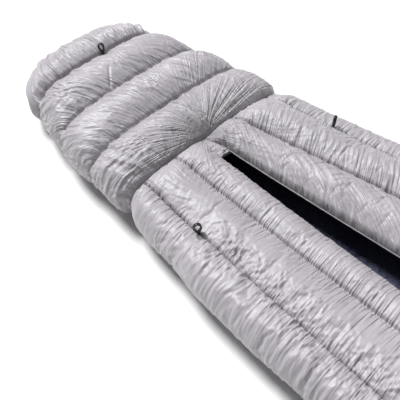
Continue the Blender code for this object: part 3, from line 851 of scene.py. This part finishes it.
def add_node(tree, kind, inputs, **settings):
    """A shader node. Each of its inputs is given as a value or as another node's output."""
    node = tree.nodes.new("ShaderNode" + kind)
    for word, value in settings.items():
        setattr(node, word, value)
    for socket, value in inputs.items():
        if isinstance(value, bpy.types.NodeSocket):
            tree.links.new(value, node.inputs[socket])
        else:
            node.inputs[socket].default_value = value
    return node


def arithmetic(tree, operation, first, second=0):
    return add_node(tree, "Math", {0: first, 1: second}, operation=operation).outputs[0]


def add_tint(tree, shader, dark, light, places, noise):
    """Varies the colour between dark and light by a noise, whose output it returns."""
    tint = add_node(tree, "TexNoise", noise).outputs["Fac"]
    ramp = add_node(tree, "ValToRGB", {"Fac": tint})
    for element, place, colour in zip(ramp.color_ramp.elements, places, (dark, light)):
        element.position = place
        element.color = (*colour, 1)
    tree.links.new(ramp.outputs["Color"], shader.inputs["Base Color"])
    return tint


def add_bump(tree, shader, height, strength, distance):
    bump = add_node(tree, "Bump", {"Strength": strength, "Distance": distance, "Height": height})
    tree.links.new(bump.outputs["Normal"], shader.inputs["Normal"])


def pleat_height(tree, layer, along, across, depth, reach):
    """Sharp pleats that follow a layer of the mesh and fade away from the seam."""
    place = add_node(tree, "Attribute", {}, attribute_name=layer).outputs["Vector"]
    scaled = add_node(tree, "VectorMath", {0: place, 1: (along, across, 1)}, operation="MULTIPLY")
    noise = {"Vector": scaled.outputs["Vector"], "Scale": 1, "Detail": 1, "Distortion": 0.5}
    wave = add_node(tree, "TexNoise", noise, noise_dimensions="2D")
    folded = arithmetic(tree, "ABSOLUTE", arithmetic(tree, "SUBTRACT", wave.outputs["Fac"], 0.5))
    away = add_node(tree, "SeparateXYZ", {0: place}).outputs["Y"]
    fade = arithmetic(tree, "EXPONENT", arithmetic(tree, "DIVIDE", away, -reach))
    return arithmetic(tree, "MULTIPLY", arithmetic(tree, "MULTIPLY", folded, fade), -depth)


def fabric(name, dark, light, roughness, crinkle, pleat, **sockets):
    """Thin woven nylon: slightly uneven colour and gloss, crinkles, pleats and a fine weave."""
    material, tree, shader = new_material(name, light, roughness, **sockets)
    place = add_node(tree, "TexCoord", {}).outputs["Object"]
    noise = {"Vector": place, "Scale": 9, "Detail": 4}
    tint = add_tint(tree, shader, dark, light, (0.3, 0.7), noise)
    gloss = {"Value": tint, "To Min": roughness - 0.05, "To Max": roughness + 0.07}
    tree.links.new(add_node(tree, "MapRange", gloss).outputs["Result"], shader.inputs["Roughness"])
    heights = []
    for scale, detail, share in ((34, 3, 1.0), (95, 4, 0.38)):
        noise = {"Vector": place, "Scale": scale, "Detail": detail, "Distortion": 0.9}
        wrinkle = add_node(tree, "TexNoise", noise).outputs["Fac"]
        heights.append(arithmetic(tree, "MULTIPLY", wrinkle, share))
    for layer, along, across, share, reach in PLEATS:
        heights.append(pleat_height(tree, layer, along, across, share * pleat, reach))
    for direction in ("X", "Y"):
        weave = add_node(tree, "TexWave", {"Vector": place, "Scale": 480}, bands_direction=direction)
        heights.append(arithmetic(tree, "MULTIPLY", weave.outputs["Fac"], 0.03))
    total = heights[0]
    for height in heights[1:]:
        total = arithmetic(tree, "ADD", total, height)
    add_bump(tree, shader, total, 0.55, crinkle)
    return material


def woven(name, dark, light, roughness):
    """Close weave of fine threads, as on webbing and stitching."""
    material, tree, shader = new_material(name, light, roughness)
    place = add_node(tree, "TexCoord", {}).outputs["Object"]
    add_tint(tree, shader, dark, light, (0, 1), {"Vector": place, "Scale": 160})
    wave = {"Vector": place, "Scale": 330, "Distortion": 1.5}
    ribs = add_node(tree, "TexWave", wave, bands_direction="DIAGONAL")
    add_bump(tree, shader, ribs.outputs["Fac"], 0.6, 0.0003)
    return material


# --- Camera and studio ---
def aimed(name, data, back):
    """A camera or light that looks the opposite way to back."""
    made = bpy.data.objects.new(name, data)
    made.rotation_mode = "QUATERNION"
    made.rotation_quaternion = (-Vector(back)).to_track_quat("-Z", "Y")
    bpy.context.scene.collection.objects.link(made)
    return made


def make_camera():
    data = bpy.data.cameras.new("camera")
    data.lens, data.sensor_width = CAMERA_LENS, 36.0
    data.clip_start, data.clip_end = 0.05, 50
    azimuth, elevation = math.radians(CAMERA_AZIMUTH), math.radians(CAMERA_ELEVATION)
    level = math.cos(elevation)
    back = math.sin(azimuth) * level, -math.cos(azimuth) * level, math.sin(elevation)
    camera = aimed("camera", data, back)
    camera.location = CAMERA_PLACE
    bpy.context.scene.camera = camera


def soft_sun(name, source, energy, spread):
    data = bpy.data.lights.new(name, "SUN")
    data.energy, data.angle = energy, spread
    aimed(name, data, source)


def make_studio():
    floor = new_material("pale_floor", (0.92, 0.92, 0.92), 0.9)[0]
    corners = [(x * FLOOR_SIZE, y * FLOOR_SIZE, FLOOR_Z) for x, y in ((-1, -1), (1, -1), (1, 1), (-1, 1))]
    mesh_object("floor", corners, [np.arange(4)[None, :]], None, [floor], closed=False)
    world = bpy.data.worlds.new("studio")
    world.use_nodes = True
    background = world.node_tree.nodes["Background"]
    background.inputs["Color"].default_value = (1, 1, 1, 1)
    background.inputs["Strength"].default_value = WORLD_LIGHT
    bpy.context.scene.world = world
    soft_sun("key", KEY_FROM, KEY_LIGHT, KEY_SPREAD)
    soft_sun("fill", FILL_FROM, FILL_LIGHT, FILL_SPREAD)
    bpy.context.scene.view_settings.view_transform = "Standard"


# --- Assembly ---
def edge_path(outer, inner, shift):
    """The middle of a rim between the fine outer border and the coarse inner one."""
    breaks = np.zeros(len(inner), bool)
    breaks[[0, -1]] = True
    return (outer + refine(inner, breaks)) / 2 + shift


def joint_pivot(name):
    joint = next(j for j in frame["joints"] if j["name"] == name)
    return Vector(joint["pos_m"]), Vector(joint["axis"])


def bend_with_flap(piece, word):
    pivot, axis = joint_pivot(f"{word}_lapel_fold")
    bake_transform(piece)


def repaint(node, finish):
    """Gives a solid of the frame, which is shown as it is, its finish."""
    for slot in frame["nodes"][node].material_slots:
        slot.link = "OBJECT"
        slot.material = finish


def build_loops(webbing, thread):
    places = [("toe_loop", TOE_LOOP_REACH, Vector((1, 0, 0)), TOE_LOOP_LEAN, LOOP_TWIST)]
    for word, side in (("left", -1), ("right", 1)):
        for place in ("hip", "shoulder"):
            places.append((f"{word}_{place}_loop", SIDE_LOOP_REACH, Vector((0, 1, 0)),
                           side * SIDE_LOOP_LEAN, side * LOOP_TWIST))
    for name, height, across, lean, twist in places:
        pivot = joint_pivot(name + "_hinge")[0]
        loop = webbing_loop(name + "_webbing", pivot, height, across, lean, twist, webbing)
        width = np.linspace(-0.5, 0.5, 21)[:, None] * LOOP_WIDTH * 0.96
        path = np.array(pivot) + width * np.array(across)
        tack = tube(name + "_bartack", path, TACK_ACROSS, TACK_UP, UPWARDS, thread, 8, 0.25, 5)
        for piece in (loop, tack):
            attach(piece, name + "_body")
        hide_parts(name)


def make_sheets():
    """The middle surface under each of the quilt's five skins."""
    outlines = [(s, Outline(s)) for s in body_rows()]
    sheets = {"left": flap_sheet(-1, outlines), "right": flap_sheet(1, outlines),
              "body": body_sheet(outlines), "foot": footbox_sheet(), "gusset": gusset_sheet(outlines)}
    gusset = sheets["gusset"]
    hollow = ease((gusset.s - GUSSET_END + 0.03) / 0.03) * (1 - (2 * gusset.share - 1) ** 2)
    gusset.points[..., 1] += GUSSET_HOLLOW * hollow
    return sheets


def shell_heights(sheets):
    """The height of each shell over its middle surface, before it is blown up."""
    side_seam = SEAM_LEVEL + RUFFLE_LIFT * ruffled(sheets["left"].s[:, 0])
    at_left = EDGE_LEVEL, SEAM_LEVEL, side_seam
    at_body = side_seam, *[SEAM_LEVEL] * 5
    heights = {"left": shape_body(sheets["left"], at_left, 1000, LEFT_RISE),
               "right": shape_body(sheets["right"], [SEAM_LEVEL] * 3, 2000, (RISE,)),
               "body": shape_body(sheets["body"], at_body, 3000, (SIDE_RISE,)),
               "foot": footbox_height(sheets["foot"]),
               "gusset": HIP_LEVEL - 0.004 + 0.005 * np.sin(math.pi * sheets["gusset"].share)}
    return {name: dipped(name, sheets[name], height) for name, height in heights.items()}


def blow_up(sheets, heights):
    shells = {name: (sheet.points + sheet.normals * heights[name][..., None], sheet)
              for name, sheet in sheets.items()}
    blown = {name: grid for name, (grid, _) in shells.items()}
    shells.pop("gusset")
    blown.update(inflate(shells))
    return blown


def creases(name, fine):
    """How far each point of a skin is raised by its creases."""
    if name in ("left", "right"):
        return flap_creases(fine, -1 if name == "left" else 1)
    return {"body": body_creases, "foot": footbox_creases, "gusset": gusset_creases}[name](fine)


def outer_face(name, fine):
    """The shell with its creases, the grooves of its seams and the ruffle of the left side seam."""
    lift = np.zeros(fine.s.shape)
    if name != "gusset":
        lift += seam_line(fine) + loop_dimple(fine)
    if name in ("left", "body"):
        seam, way = (2, -1) if name == "left" else (0, 1)
        lift += ruffle(fine, seam, way) - (fine.seam == seam) * ruffled(fine.s) * seam_line(fine)
    creased = fine.normals * creases(name, fine)[..., None]
    return rest_on_floor(fine.grid + creased + fine.out * lift[..., None])


def inner_face(name, sheet, height, seed):
    """The lining, which hangs below the gusset's own shell."""
    level = dipped(name, sheet, lining_height(sheet, seed))
    if name == "gusset":
        level = np.minimum(level, height - 0.006)
    return sheet.points + sheet.normals * level[..., None]


def build_skins(shell, lining):
    """The five skins by name, and each one's outer grid, inner grid and fine sheet."""
    sheets = make_sheets()
    heights = shell_heights(sheets)
    blown = blow_up(sheets, heights)
    pieces, faces = {}, {}
    for number, (name, sheet) in enumerate(sheets.items()):
        fine = Fine(sheet, blown[name])
        outer, inner = outer_face(name, fine), inner_face(name, sheet, heights[name], 4000 + 10 * number)
        pieces[name] = closed_piece(name, outer, inner, [shell, lining], sheet.ring)
        add_pleats(name, pieces[name], fine)
        faces[name] = (outer, inner, fine)
    return pieces, faces


def build_hem(name, outer, inner, finish, seed):
    """The rolled hem along a skin's head end."""
    path = edge_path(outer[-1], inner[-1], (0, HEM_REACH, 0))
    return tube(name, path, HEM_REACH, HEM_THICK, ALONG_Y, finish, 12, 0.06, seed)


def edge_flaps(pieces, faces, shell, binding):
    """Binds and hems the two flaps and bakes each piece's placement into its mesh."""
    for side, word in ((-1, "left"), (1, "right")):
        outer, inner, fine = faces[word]
        path = edge_path(outer[:, 0], inner[:, 0], (-side * 0.0012, 0, -0.001))
        path = path[fine.s[:, 0] > S_SLIT - 0.004]
        tape = tube(word + "_binding_tape", path, BINDING_ACROSS, BINDING_UP, UPWARDS, binding, 10, 0.12, 11)
        hem = build_hem(word + "_hem", outer, inner, shell, 13)
        for piece in (pieces[word], tape, hem):
            bend_with_flap(piece, word)
        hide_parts(word + "_binding")
        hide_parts(word + "_lapel_hem")


def edge_body(pieces, faces, shell):
    """Hems the body at the head end and rides everything fixed on the quilt's base."""
    hem = build_hem("body_hem", *faces["body"][:2], shell, 17)
    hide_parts("head_hem")
    for piece in (pieces["body"], pieces["foot"], pieces["gusset"], hem):
        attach(piece, "quilt_base")


def declare_skins(pieces):
    """Hides the solids of the frame that the skins stand for."""
    endings = "_shell", "_lining", "_down", "_baffle", "_1", "_2", "_3"
    soft = [n for n in frame["nodes"] if n.endswith(endings)]
    foot_nodes = [n for n in soft if n.startswith(("footbox", "toe_"))]
    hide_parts(*foot_nodes)
    for word in ("left", "right"):
        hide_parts(*[n for n in soft if n.startswith((word + "_lapel", word + "_flap"))])
    apart = ("left_flap", "right_flap", "left_lapel", "right_lapel")
    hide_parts(*[n for n in soft if n not in foot_nodes and not n.startswith(apart)])
    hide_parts("slit_gusset")
    for piece in pieces.values():
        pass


def main():
    shell = fabric("shell_nylon", (0.350, 0.330, 0.358), (0.415, 0.393, 0.423), 0.42, 0.0016, 9.0,
                   Sheen_Weight=0.15, Specular_IOR_Level=0.55)
    lining = fabric("lining_nylon", (0.042, 0.046, 0.104), (0.079, 0.086, 0.174), 0.36, 0.0090, 0.0,
                    Sheen_Weight=0.15)
    binding = fabric("binding_tape", (0.27, 0.255, 0.28), (0.35, 0.33, 0.36), 0.36, 0.0010, 0.0,
                     Sheen_Weight=0.1)
    webbing = woven("loop_webbing", (0.010, 0.010, 0.011), (0.022, 0.022, 0.024), 0.30)
    thread = woven("black_thread", (0.008, 0.008, 0.009), (0.016, 0.016, 0.018), 0.45)
    snap = woven("snap_plastic", (0.010, 0.010, 0.011), (0.014, 0.014, 0.015), 0.28)
    pieces, faces = build_skins(shell, lining)
    edge_flaps(pieces, faces, shell, binding)
    edge_body(pieces, faces, shell)
    declare_skins(pieces)
    build_loops(webbing, thread)
    for node in ("neck_stud", "neck_socket"):
        repaint(node, snap)
    make_camera()
    make_studio()


main()
